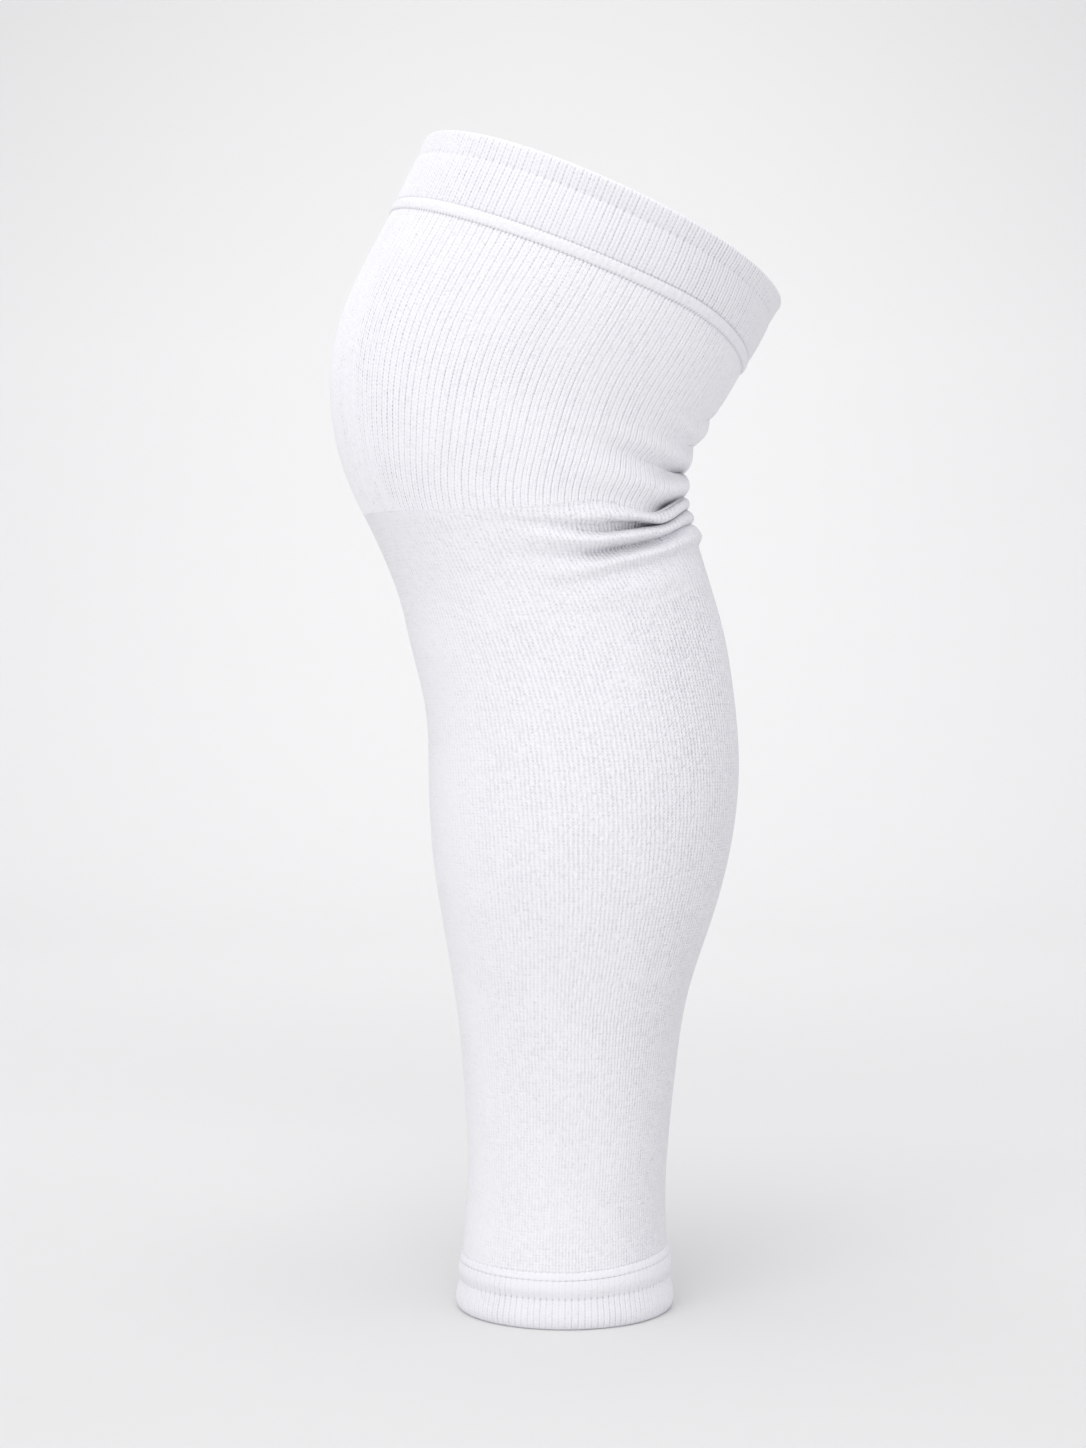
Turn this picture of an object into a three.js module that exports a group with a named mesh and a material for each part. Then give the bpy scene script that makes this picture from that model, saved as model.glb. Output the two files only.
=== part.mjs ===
// A knitted leg sleeve in the form it takes when worn, with the knee slightly bent.
// Millimetres, +Z up. The shin and kneecap face -X, the calf faces +X, and Y runs across the leg.
// The origin is the centre of the ankle opening, in the plane of the hem's lower edge.
import * as THREE from "three";

// Driving dimensions
const knitWall = 1.8; // thickness of the knitted tube
const sewnGap = 0.3; // clearance between pieces that are sewn together
const seamHeight = 2.7; // covered seam between its two rows of stitches
const hemTop = 18.4; // upper edge of the folded ankle band
const rimLevel = 401.0; // back edge of the thigh opening
const thighSeamLevel = 378.0; // back edge of the thigh seam's lower stitch row
const cuffRibs = 150; // ribs round the thigh cuff
const cuffRibRise = 0.45;
const hemRibs = 108; // ribs round the ankle band
const hemRibRise = 0.35;
const stepsPerRib = 2;
const tubeSteps = 56; // facets round the knitted tube
const innerSteps = 56; // facets round the inside of the cuffs and seams

// Levels at which one piece ends and the next begins
const ankleSeamLevel = hemTop + sewnGap;
const tubeLowLevel = ankleSeamLevel + seamHeight + sewnGap;
const tubeHighLevel = thighSeamLevel - sewnGap;
const thighSeamTop = thighSeamLevel + seamHeight;
const cuffLevel = thighSeamTop + sewnGap;

// Sections of the worn sleeve, each a plane oval. Level is the height of its back edge, which is
// at backX, and (frontX, frontZ) is its front edge. Width is the oval's size along Y, and dip is
// how far its two sides sag below the plane.
const legSections = [
  { level: 0.0, backX: 40.9, frontX: -40.6, frontZ: 0.0, width: 77, dip: 0.0 }, // hem
  { level: 21.4, backX: 41.2, frontX: -40.4, frontZ: 21.4, width: 77, dip: 0.0 }, // ankle seam
  { level: 42.0, backX: 40.4, frontX: -38.9, frontZ: 42.0, width: 74, dip: 0.0 }, // ankle
  { level: 61.2, backX: 41.2, frontX: -38.4, frontZ: 61.2, width: 74, dip: 0.0 },
  { level: 93.2, backX: 44.5, frontX: -40.2, frontZ: 93.2, width: 78, dip: 0.0 },
  { level: 125.2, backX: 49.5, frontX: -43.7, frontZ: 125.2, width: 86, dip: 0.0 },
  { level: 149.2, backX: 57.2, frontX: -47.6, frontZ: 149.2, width: 96, dip: 0.0 },
  { level: 173.2, backX: 64.4, frontX: -51.6, frontZ: 173.2, width: 106, dip: 0.0 },
  { level: 213.2, backX: 69.6, frontX: -54.0, frontZ: 213.2, width: 113, dip: 0.0 }, // calf
  { level: 241.2, backX: 68.0, frontX: -56.0, frontZ: 241.2, width: 113, dip: 0.0 },
  { level: 265.2, backX: 64.4, frontX: -61.6, frontZ: 265.2, width: 112, dip: 0.0 },
  { level: 289.2, backX: 58.3, frontX: -68.3, frontZ: 289.2, width: 113, dip: 0.0 },
  { level: 300.4, backX: 54.9, frontX: -75.2, frontZ: 305.2, width: 116, dip: 0.0 },
  { level: 309.2, backX: 52.2, frontX: -79.9, frontZ: 314.8, width: 119, dip: 0.0 }, // change of knit
  { level: 318.0, backX: 50.6, frontX: -86.4, frontZ: 329.2, width: 122, dip: 0.0 },
  { level: 326.0, backX: 50.2, frontX: -91.1, frontZ: 345.2, width: 126, dip: 0.0 },
  { level: 334.8, backX: 50.8, frontX: -93.2, frontZ: 367.2, width: 130, dip: 0.0 }, // kneecap
  { level: 345.2, backX: 54.2, frontX: -89.5, frontZ: 391.2, width: 136, dip: 0.4 },
  { level: 356.0, backX: 61.0, frontX: -81.6, frontZ: 410.4, width: 143, dip: 1.0 },
  { level: 378.0, backX: 73.7, frontX: -69.2, frontZ: 434.0, width: 150, dip: 2.4 }, // thigh seam
  { level: 401.0, backX: 84.4, frontX: -55.2, frontZ: 462.6, width: 154, dip: 1.0 }, // rim
];

// Creases (out below 0) and rolls (out above 0) gathered behind the bent knee, from the calf up.
// Each runs round the leg through four levels: at the back, at the flank 45 degrees from it, at the
// side and at the front. It fades out at reach, in degrees round from the back.
const kneeFolds = [
  { back: 302.4, flank: 292.5, side: 283.5, front: 283.0, out: -0.6, reach: 92 }, // calf crease
  { back: 307.2, flank: 296.5, side: 288.5, front: 288.0, out: 2.2, reach: 96 },
  { back: 311.2, flank: 299.8, side: 293.2, front: 293.0, out: -2.4, reach: 104 }, // lower crease
  { back: 314.4, flank: 303.5, side: 299.0, front: 298.5, out: 0.7, reach: 104 },
  { back: 316.8, flank: 307.0, side: 304.5, front: 303.5, out: -3.8, reach: 104 }, // middle crease
  { back: 319.6, flank: 310.2, side: 308.0, front: 306.5, out: 0.0, reach: 98 },
  { back: 322.0, flank: 313.4, side: 311.2, front: 309.5, out: -3.6, reach: 84 }, // upper crease
  { back: 326.4, flank: 322.0, side: 320.5, front: 318.0, out: -0.2, reach: 76 },
  { back: 331.2, flank: 330.2, side: 330.0, front: 327.0, out: -3.0, reach: 62 }, // top crease
  { back: 337.2, flank: 334.2, side: 334.5, front: 334.0, out: 0.2, reach: 58 },
  { back: 341.6, flank: 338.4, side: 339.0, front: 340.0, out: -1.6, reach: 52 }, // thigh crease
  { back: 349.4, flank: 347.0, side: 347.5, front: 348.0, out: 1.2, reach: 54 },
];

// Levels of the tube's plain rows below and above the folds
const calfLevels = [tubeLowLevel, 42, 61.2, 93.2, 125.2, 149.2, 173.2, 193, 213.2, 237, 258, 275];
const thighLevels = [356, 366, tubeHighLevel];

// Outer profile of the ankle band, from its upper edge down to the surface it stands on. Out is
// how far it stands proud of the tube.
const hemProfile = [
  { level: hemTop, out: 0.5 },
  { level: 15.2, out: 1.5 }, // upper bulge
  { level: 11.4, out: 0.6 }, // middle row of stitches
  { level: 3.0, out: 2.5 }, // flared lower edge
  { level: 0.0, out: 1.5 },
];

// Outer profile of the thigh cuff, from the seam up to the rim
const cuffProfile = [
  { level: cuffLevel, out: 0.5 },
  { level: 393.6, out: 0.3 }, // row of stitches below the rim
  { level: rimLevel - 0.8, out: 1.5 }, // flared rim
];

// The oval section at a level: its centre, its axis from front to back, and its half sizes.
const columns = ["backX", "frontX", "frontZ", "width", "dip"];
const sectionCurve = new THREE.CubicInterpolant(
  legSections.map((row) => row.level),
  legSections.flatMap((row) => columns.map((name) => row[name])),
  columns.length,
);

function sectionAt(level) {
  const [backX, frontX, frontZ, width, dip] = sectionCurve.evaluate(level);
  const back = new THREE.Vector3(backX, 0, level);
  const front = new THREE.Vector3(frontX, 0, frontZ);
  return {
    centre: back.clone().add(front).multiplyScalar(0.5),
    toBack: back.clone().sub(front).normalize(),
    halfDepth: back.distanceTo(front) / 2,
    halfWidth: width / 2,
    dip,
  };
}

// A point on the sleeve at a level and an angle round from the back, moved out along the
// oval's own normal.
function sleevePoint(level, angle, out) {
  const { centre, toBack, halfDepth, halfWidth, dip } = sectionAt(level);
  const across = new THREE.Vector3(0, 1, 0);
  const cos = Math.cos(angle);
  const sin = Math.sin(angle);
  const normal = new THREE.Vector3()
    .addScaledVector(toBack, halfWidth * cos)
    .addScaledVector(across, halfDepth * sin)
    .normalize();
  centre.z -= dip * sin * sin;
  return centre
    .addScaledVector(toBack, halfDepth * cos)
    .addScaledVector(across, halfWidth * sin)
    .addScaledVector(normal, out);
}

// A closed ring of points. The shape function gives level and out at each angle and step.
function ring(steps, shape) {
  return Array.from({ length: steps }, (_, step) => {
    const angle = (2 * Math.PI * step) / steps;
    const { level, out } = shape(angle, step);
    return sleevePoint(level, angle, out);
  });
}

const plainRing = (steps, level, out) => ring(steps, () => ({ level, out }));

// A ring whose even steps stand proud as ribs.
function ribbedRing(ribs, level, out, rise) {
  const shape = (_, step) => ({ level, out: step % stepsPerRib === 0 ? out + rise : out });
  return ring(ribs * stepsPerRib, shape);
}

// A ring along one crease or roll of the knee folds, moved in by inset.
function foldRing(fold, inset) {
  const { smoothstep, radToDeg } = THREE.MathUtils;
  return ring(tubeSteps, (angle) => {
    const degreesFromBack = radToDeg(Math.min(angle, 2 * Math.PI - angle));
    const share = 1 - smoothstep(degreesFromBack, 0.45 * fold.reach, fold.reach);
    return {
      level:
        fold.back +
        (fold.flank - fold.back) * smoothstep(degreesFromBack, 0, 45) +
        (fold.side - fold.flank) * smoothstep(degreesFromBack, 45, 90) +
        (fold.front - fold.side) * smoothstep(degreesFromBack, 90, 180),
      out: fold.out * share - inset,
    };
  });
}

// Triangles between two rings, stepping along whichever ring is behind, so that the two may
// have different numbers of points.
function laceRings(near, nearStart, far, farStart, triangles) {
  let i = 0;
  let j = 0;
  while (i < near.length || j < far.length) {
    const nearPoint = nearStart + (i % near.length);
    const farPoint = farStart + (j % far.length);
    if (j === far.length || (i < near.length && (i + 1) * far.length <= (j + 1) * near.length)) {
      i += 1;
      triangles.push(nearPoint, nearStart + (i % near.length), farPoint);
    } else {
      j += 1;
      triangles.push(nearPoint, farStart + (j % far.length), farPoint);
    }
  }
}

// A closed wall through a loop of rings: up the outside, over the edge and down the inside.
function wallGeometry(rings) {
  const starts = [];
  let count = 0;
  for (const points of rings) {
    starts.push(count);
    count += points.length;
  }
  const triangles = [];
  rings.forEach((points, k) => {
    const next = (k + 1) % rings.length;
    laceRings(points, starts[k], rings[next], starts[next], triangles);
  });
  const geometry = new THREE.BufferGeometry().setFromPoints(rings.flat());
  geometry.setIndex(triangles);
  geometry.computeVertexNormals();
  return geometry;
}

const knit = (color, roughness) => new THREE.MeshStandardMaterial({ color, roughness, metalness: 0 });

function addPiece(group, name, rings, material) {
  const mesh = new THREE.Mesh(wallGeometry(rings), material);
  mesh.name = name;
  group.add(mesh);
}

// The seamless tube over shin, calf and knee, with the folds behind the knee.
function legTubeRings() {
  const side = (inset) => [
    ...calfLevels.map((level) => plainRing(tubeSteps, level, -inset)),
    ...kneeFolds.map((fold) => foldRing(fold, inset)),
    ...thighLevels.map((level) => plainRing(tubeSteps, level, -inset)),
  ];
  return [...side(0), ...side(knitWall).reverse()];
}

// The covered seam, a rounded ridge that joins a cuff to the tube.
function seamRings(level, proud) {
  const top = level + seamHeight;
  const middle = level + seamHeight / 2;
  return [
    plainRing(innerSteps, level, 0.3 * proud),
    plainRing(innerSteps, middle, proud),
    plainRing(innerSteps, top, 0.5 * proud),
    plainRing(innerSteps, top, -knitWall),
    plainRing(innerSteps, level, -knitWall),
  ];
}

// The folded band round the ankle, ribbed outside, with a flat lower edge.
function ankleBandRings() {
  const outside = hemProfile.map((row) => ribbedRing(hemRibs, row.level, row.out, hemRibRise));
  return [
    ...outside.reverse(),
    plainRing(innerSteps, hemTop, -knitWall),
    plainRing(innerSteps, 0, -knitWall),
  ];
}

// The folded cuff round the thigh, ribbed outside and flared at the rim.
function thighCuffRings() {
  return [
    ...cuffProfile.map((row) => ribbedRing(cuffRibs, row.level, row.out, cuffRibRise)),
    plainRing(innerSteps, rimLevel, 0.2),
    plainRing(innerSteps, rimLevel - 0.8, -knitWall + 0.4),
    plainRing(innerSteps, cuffLevel, -knitWall),
  ];
}

const sleeve = new THREE.Group();
sleeve.name = "leg_sleeve";
addPiece(sleeve, "ankle_band", ankleBandRings(), knit(0xf4f4f7, 0.92));
addPiece(sleeve, "ankle_seam", seamRings(ankleSeamLevel, 0.9), knit(0xf6f6f8, 0.88));
addPiece(sleeve, "leg_tube", legTubeRings(), knit(0xf2f2f6, 0.94));
addPiece(sleeve, "thigh_seam", seamRings(thighSeamLevel, 1.3), knit(0xf6f6f8, 0.88));
addPiece(sleeve, "thigh_cuff", thighCuffRings(), knit(0xf4f4f7, 0.92));

export default sleeve;
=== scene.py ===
import math

import bmesh
import bpy
import numpy as np
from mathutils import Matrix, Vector


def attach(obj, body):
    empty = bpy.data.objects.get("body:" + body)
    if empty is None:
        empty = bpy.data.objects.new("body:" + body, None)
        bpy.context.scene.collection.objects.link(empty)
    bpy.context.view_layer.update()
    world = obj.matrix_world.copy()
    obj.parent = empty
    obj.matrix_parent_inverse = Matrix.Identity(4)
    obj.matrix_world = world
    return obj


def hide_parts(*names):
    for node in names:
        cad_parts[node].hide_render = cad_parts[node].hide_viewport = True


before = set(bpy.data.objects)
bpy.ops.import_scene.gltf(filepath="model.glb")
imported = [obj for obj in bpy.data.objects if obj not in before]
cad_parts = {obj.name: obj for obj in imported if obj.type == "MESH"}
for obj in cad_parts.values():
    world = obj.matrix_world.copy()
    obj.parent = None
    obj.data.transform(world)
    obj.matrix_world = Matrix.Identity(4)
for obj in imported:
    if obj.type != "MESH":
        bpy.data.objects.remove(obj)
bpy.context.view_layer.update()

mm = 0.001
scene = bpy.context.scene

# the leg form that every knitted piece follows, in millimetres
legForm = {
    "wall": 1.8,  # thickness of the knit
    "course": 1.2,  # height of one course of loops
    "uneven": 0.25,  # how far the wall strays from the smooth form
    "insideColumns": 160,
    "firstLevel": 320.0,  # a first guess of a point's level, behind the knee
    # level of the back edge, backX, frontX, frontZ, width across, dip of the two sides
    "sections": [
        (0.0, 40.9, -40.6, 0.0, 77.0, 0.0),  # hem
        (21.4, 41.2, -40.4, 21.4, 77.0, 0.0),  # ankle seam
        (42.0, 40.4, -38.9, 42.0, 74.0, 0.0),  # ankle
        (61.2, 41.2, -38.4, 61.2, 74.0, 0.0),
        (93.2, 44.5, -40.2, 93.2, 78.0, 0.0),
        (125.2, 49.5, -43.7, 125.2, 86.0, 0.0),
        (149.2, 57.2, -47.6, 149.2, 96.0, 0.0),
        (173.2, 64.4, -51.6, 173.2, 106.0, 0.0),
        (213.2, 69.6, -54.0, 213.2, 113.0, 0.0),  # calf
        (241.2, 68.0, -56.0, 241.2, 113.0, 0.0),
        (265.2, 64.4, -61.6, 265.2, 112.0, 0.0),
        (289.2, 57.6, -68.3, 289.2, 113.0, 0.0),
        (300.4, 54.3, -75.2, 305.2, 116.0, 0.0),
        (309.2, 52.2, -79.9, 314.8, 119.0, 0.0),  # change of knit
        (318.0, 50.6, -86.4, 329.2, 122.0, 0.0),
        (326.0, 50.2, -91.1, 345.2, 126.0, 0.0),
        (334.8, 50.8, -93.2, 367.2, 130.0, 0.0),  # kneecap
        (345.2, 54.2, -89.5, 391.2, 136.0, 0.4),
        (356.0, 61.0, -81.6, 410.4, 143.0, 1.0),
        (378.0, 73.7, -69.2, 434.0, 150.0, 2.4),  # thigh seam
        (401.0, 84.4, -55.2, 462.6, 154.0, 1.0),  # rim
    ],
}


# natural cubic curve through a short table
def smoothCurve(knots, values):
    knots = np.asarray(knots, float)
    values = np.asarray(values, float).reshape(len(knots), -1)
    gap = np.diff(knots)
    slope = np.diff(values, axis=0) / gap[:, None]
    count = len(knots)
    matrix = np.eye(count)
    right = np.zeros_like(values)
    for i in range(1, count - 1):
        matrix[i, i - 1:i + 2] = gap[i - 1], 2 * (gap[i - 1] + gap[i]), gap[i]
        right[i] = 6 * (slope[i] - slope[i - 1])
    bend = np.linalg.solve(matrix, right)

    def at(x):
        x = np.asarray(x, float)
        i = np.clip(np.searchsorted(knots, x) - 1, 0, count - 2)
        g = gap[i]
        a = ((knots[i + 1] - x) / g)[..., None]
        b = ((x - knots[i]) / g)[..., None]
        g = g[..., None]
        return (a * values[i] + b * values[i + 1]
                + ((a ** 3 - a) * bend[i] + (b ** 3 - b) * bend[i + 1]) * g * g / 6)

    return at


def fade(x, low, high):
    t = np.clip((x - low) / (high - low), 0, 1)
    return t * t * (3 - 2 * t)


slowWaves = {"count": 5, "turns": (2, 11), "pace": (0.02, 0.11)}


# slow, smooth unevenness from a few waves
def unevenness(u, height, seed):
    rng = np.random.default_rng(seed)
    total = np.zeros_like(u)
    for k in range(slowWaves["count"]):
        turns = rng.integers(*slowWaves["turns"])
        pace = rng.uniform(*slowWaves["pace"])
        start = rng.uniform(0, 2 * np.pi)
        total += np.sin(2 * np.pi * turns * u + pace * height + start)
    return total / slowWaves["count"]


# degrees from the back, the same on both sides
def fromBack(angle):
    return np.degrees(np.arccos(np.clip(np.cos(angle), -1, 1)))


sectionTable = np.array(legForm["sections"])
sectionAt = smoothCurve(sectionTable[:, 0], sectionTable[:, 1:])
# how far the two seams run down or up at the back, how far round that reaches in degrees from the back,
# and the levels over which it comes and goes
seamBow = {
    "thigh": -6.2,
    "thighReach": (-10, 57),
    "thighComes": (350, 377),
    "thighGoes": (388, 402),
    "thighLoss": 0.85,  # the share that is gone at the rim
    "ankle": 3.6,
    "ankleReach": (0, 95),
    "ankleFull": 21.4,
    "ankleGoes": (24, 55),
}


def bowed(level, angle):
    degrees = fromBack(angle)
    thigh = seamBow["thigh"] * (1 - fade(degrees, *seamBow["thighReach"]))
    thigh = thigh * fade(level, *seamBow["thighComes"])
    thigh = thigh * (1 - seamBow["thighLoss"] * fade(level, *seamBow["thighGoes"]))
    ankle = seamBow["ankle"] * (1 - fade(degrees, *seamBow["ankleReach"]))
    ankle = ankle * np.clip(level / seamBow["ankleFull"], 0, 1) * (1 - fade(level, *seamBow["ankleGoes"]))
    return level + thigh + ankle


# points on the sleeve, in metres: angle runs round from the back, out is along the section's normal
def legPoint(level, angle, out):
    level = bowed(level, angle)
    backX, frontX, frontZ, width, dip = np.moveaxis(sectionAt(level), -1, 0)
    alongX, alongZ = backX - frontX, level - frontZ
    depth = np.hypot(alongX, alongZ)
    alongX, alongZ = alongX / depth, alongZ / depth
    halfDepth, halfWidth = depth / 2, width / 2
    c, s = np.cos(angle), np.sin(angle)
    normal = np.stack([alongX * halfWidth * c, halfDepth * s, alongZ * halfWidth * c], -1)
    normal /= np.linalg.norm(normal, axis=-1, keepdims=True)
    point = np.stack([
        (backX + frontX) / 2 + halfDepth * c * alongX,
        halfWidth * s,
        (level + frontZ) / 2 + halfDepth * c * alongZ - dip * s * s,
    ], -1)
    return (point + np.asarray(out)[..., None] * normal) * mm


# height up the side of the leg, which counts the courses of the knit
def sideHeight(level):
    return (level + sectionAt(level)[..., 2]) / 2


# how the wales run: closer at the back than in front, and drawn forward over the bent knee
waleRun = {
    "weld": math.pi / 2,  # the tube is closed down the side away from the camera
    "crowding": 0.06,
    "levels": (0, 120, 170, 220, 260, 285, 303, 311, 321, 331, 341, 352, 402),
    "forward": (0, 0, 1, 4.5, 9, 12, 13.5, 12.5, 7.5, 2.8, 0.5, 0, 0),  # degrees
}
forwardAt = smoothCurve(waleRun["levels"], waleRun["forward"])


def waleAngle(u, level):
    base = waleRun["weld"] + 2 * np.pi * u
    degrees = fromBack(base)
    side = np.where(np.sin(base) < 0, -1.0, 1.0)
    forward = forwardAt(level)[..., 0] * fade(degrees, 0, 35) * (1 - fade(degrees, 105, 180))
    return side * (np.radians(degrees + forward) - waleRun["crowding"] * np.sin(np.radians(degrees)))


# folds gathered behind the knee
kneeFolds = {
    "angles": (0, 10, 20, 30, 40, 50, 60, 70, 80, 90, 105, 180),  # degrees from the back
    # each crease: level of its line, its depth, how far its mouth opens above the line, how pinched the
    # rolls above and below it are there, how far the roll below laps over it, how much the roll above
    # leans down to a lip, the height of that roll, and how much shade is painted inside the crease
    "calfLine": {
        "level": (291, 290, 287.5, 284.6, 281.6, 278.6, 276, 274, 272.4, 271.4, 270.6, 270),
        "roll": (0, 0, 0.1, 0.2, 0.4, 0.5, 0.5, 0.4, 0.3, 0.1, 0, 0),
    },
    "calfCrease": {
        "level": (302.8, 301.5, 299.9, 297.7, 294.7, 292, 289.4, 286.9, 284.6, 283.2, 283, 283),
        "depth": (0.1, 0.3, 0.6, 0.9, 1.2, 1.2, 1.1, 0.9, 0.6, 0.2, 0, 0),
        "above": (0.5, 0.3, 0.1, 0, 0, 0, 0, 0, 0, 0, 0, 0),
        "roll": (2.2, 2.2, 2.0, 1.8, 1.6, 1.3, 1.0, 0.8, 0.5, 0.2, 0, 0),
    },
    "lowerCrease": {
        "level": (311.3, 310.3, 308.4, 305.3, 302.1, 299.5, 297.4, 295.5, 294, 293.4, 293, 293),
        "depth": (2.0, 2.4, 3.0, 3.6, 4.2, 4.6, 4.7, 4.2, 2.8, 1.2, 0.1, 0),
        "above": (1, 0.8, 0.4, 0.1, 0, 0, 0, 0, 0, 0, 0, 0),
        "below": (1, 0.9, 0.6, 0.3, 0.1, 0, 0, 0, 0, 0, 0, 0),
        "roll": (0.6, 0.7, 0.9, 1.2, 1.5, 1.7, 1.8, 1.8, 1.3, 0.6, 0.1, 0),
        "dark": (0, 0, 0, 0, 0.05, 0.15, 0.2, 0.15, 0, 0, 0, 0),
    },
    "middleCrease": {
        "level": (316.7, 316, 313.9, 310.5, 307.2, 305.2, 303.4, 302.4, 303.2, 304.6, 304.6, 304),
        "depth": (2.4, 2.9, 3.4, 4.0, 5.8, 6.4, 4.8, 3.4, 2.0, 0.7, 0.1, 0),
        "gap": (0, 0, 0, 0, 0.2, 2.4, 3.5, 3.3, 1.4, 0, 0, 0),
        "above": (1, 1, 1, 1, 1, 1, 1, 0.9, 0.5, 0.1, 0, 0),
        "below": (1, 1, 1, 1, 1, 0.9, 0.6, 0.3, 0.1, 0, 0, 0),
        "lap": (0, 0, 0.3, 0.6, 0.8, 0.8, 0.6, 0.3, 0.1, 0, 0, 0),
        "lip": (0, 0, 0, 0.2, 0.5, 0.9, 1, 1, 0.6, 0.2, 0, 0),
        "roll": (-0.5, -0.1, 0.4, 0.9, 1.3, 1.5, 1.4, 0.9, 0.3, 0.05, 0, 0),
        "dark": (0.15, 0.3, 0.4, 0.5, 0.8, 0.35, 0.12, 0.04, 0, 0, 0, 0),
    },
    "upperCrease": {
        "level": (322, 320.4, 317.2, 313.9, 311.6, 312.2, 313.8, 313.2, 311.4, 309.9, 308.9, 308.6),
        "depth": (3.8, 4.2, 5.3, 5.6, 3.4, 2.2, 1.6, 0.9, 0.3, 0, 0, 0),
        "above": (1, 0.6, 0.1, 0, 0, 0, 0, 0, 0, 0, 0, 0),
        "below": (1, 1, 1, 1, 0.8, 0.2, 0, 0, 0, 0, 0, 0),
        "lap": (0, 0.8, 1.8, 1.8, 1.0, 0.2, 0, 0, 0, 0, 0, 0),
        "roll": (-0.4, 0.2, 0.9, 1.2, 1.2, 1.0, 0.6, 0.3, 0.1, 0, 0, 0),
        "dark": (0, 0, 0.7, 1, 0.3, 0, 0, 0, 0, 0, 0, 0),
    },
    "topCrease": {
        "level": (331.1, 330, 328.5, 328.4, 328.8, 329.4, 330.2, 331, 331, 330.6, 330, 327),
        "depth": (4.4, 4.8, 4.6, 4.3, 3.5, 2.3, 1.0, 0.3, 0, 0, 0, 0),
        "above": (1, 0.6, 0.1, 0, 0, 0, 0, 0, 0, 0, 0, 0),
        "below": (1, 1, 0.9, 0.5, 0.2, 0, 0, 0, 0, 0, 0, 0),
        "lap": (0, 0.4, 0.8, 0.5, 0.1, 0, 0, 0, 0, 0, 0, 0),
        "roll": (-0.2, 0.2, 0.6, 0.7, 0.6, 0.4, 0.1, 0, 0, 0, 0, 0),
        "dark": (0, 0.45, 0.25, 0.06, 0, 0, 0, 0, 0, 0, 0, 0),
    },
    "thighCrease": {
        "level": (342.4, 340.8, 339.6, 339.6, 339.4, 339.4, 339.6, 340, 340, 340, 340, 340),
        "depth": (2.1, 1.9, 1.4, 0.8, 0.4, 0.1, 0, 0, 0, 0, 0, 0),
        "above": (0.5, 0.3, 0.1, 0, 0, 0, 0, 0, 0, 0, 0, 0),
        "below": (1, 0.8, 0.3, 0, 0, 0, 0, 0, 0, 0, 0, 0),
        "roll": (1.4, 1.1, 0.7, 0.3, 0.1, 0, 0, 0, 0, 0, 0, 0),
    },
    "thighDent": {
        "level": (353, 350.6, 348.4, 348, 348, 348, 348, 348, 348, 348, 348, 348),
        "depth": (1.2, 0.9, 0.4, 0.1, 0, 0, 0, 0, 0, 0, 0, 0),
        "below": (0.7, 0.4, 0, 0, 0, 0, 0, 0, 0, 0, 0, 0),
    },
    "thighLine": {
        "level": (361, 361, 361, 361, 361, 361, 361, 361, 361, 361, 361, 361),
    },
}
foldKeys = ("level", "depth", "gap", "above", "below", "lap", "lip", "roll", "dark")
lapScale = 9.5  # brings the most that a roll laps over its crease to the table's millimetres


# a fold's value round the leg, level at the back and at the front
def roundTheLeg(values):
    angles = np.array(kneeFolds["angles"], float)
    table = np.array(values, float)
    knots = np.concatenate([-angles[:0:-1], angles, 360 - angles[-2::-1]])
    curve = smoothCurve(knots, np.concatenate([table[:0:-1], table, table[-2::-1]]))
    return lambda angle: curve(fromBack(angle))[..., 0]


foldCurves = {
    name: {key: roundTheLeg(row.get(key, (0,) * len(kneeFolds["angles"]))) for key in foldKeys}
    for name, row in kneeFolds.items() if name != "angles"
}


# level, out and painted crease shade between two crease lines, share 0 at the lower and 1 at the upper one
def foldShape(lower, upper, share, angle):
    low, high = foldCurves[lower], foldCurves[upper]
    lowLevel, highLevel = low["level"](angle), high["level"](angle)
    lap = lapScale * (1 - share) * share ** 3 * np.clip(high["lap"](angle), 0, None)
    level = lowLevel + (highLevel - lowLevel) * share + lap
    lowDepth, highDepth = (np.clip(line["depth"](angle), 0, None) for line in (low, high))
    floor = -lowDepth * (1 - share) - highDepth * share
    pinch = np.clip(low["above"](angle) * (1 - share) + high["below"](angle) * share, 0, 1)
    start = np.clip(low["gap"](angle), 0, None) / (highLevel - lowLevel)
    over = np.clip((share - start) / (1 - start), 0, 1) ** (1 - 0.5 * np.clip(low["lip"](angle), 0, 1))
    roundRoll = np.sqrt(np.clip(1 - (2 * over - 1) ** 2, 0, 1))
    softRoll = 0.5 - 0.5 * np.cos(2 * np.pi * over)
    lift = pinch * roundRoll + (1 - pinch) * softRoll
    dark = np.clip(low["dark"](angle) * (1 - share) + high["dark"](angle) * share, 0, 1)
    dark = dark * ((1 - lift) ** 1.5 if share < 0.5 else 1 - lift ** 2)
    return level, floor + (low["roll"](angle) - floor) * lift, dark


# rows of a wall: each is a pair of lines and a share between them; a line is a crease or a plain level
def foldRows(lower, upper, count):
    return [(lower, upper, (1 - math.cos(math.pi * i / count)) / 2) for i in range(count)]


def plainRows(lower, upper, count):
    return [(lower, upper, i / count) for i in range(count)]


def withEnd(rows):
    return rows + [(rows[-1][0], rows[-1][1], 1.0)]


def lineLevel(line, angle):
    if isinstance(line, str):
        return foldCurves[line]["level"](angle)
    return np.full_like(angle, line)
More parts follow.
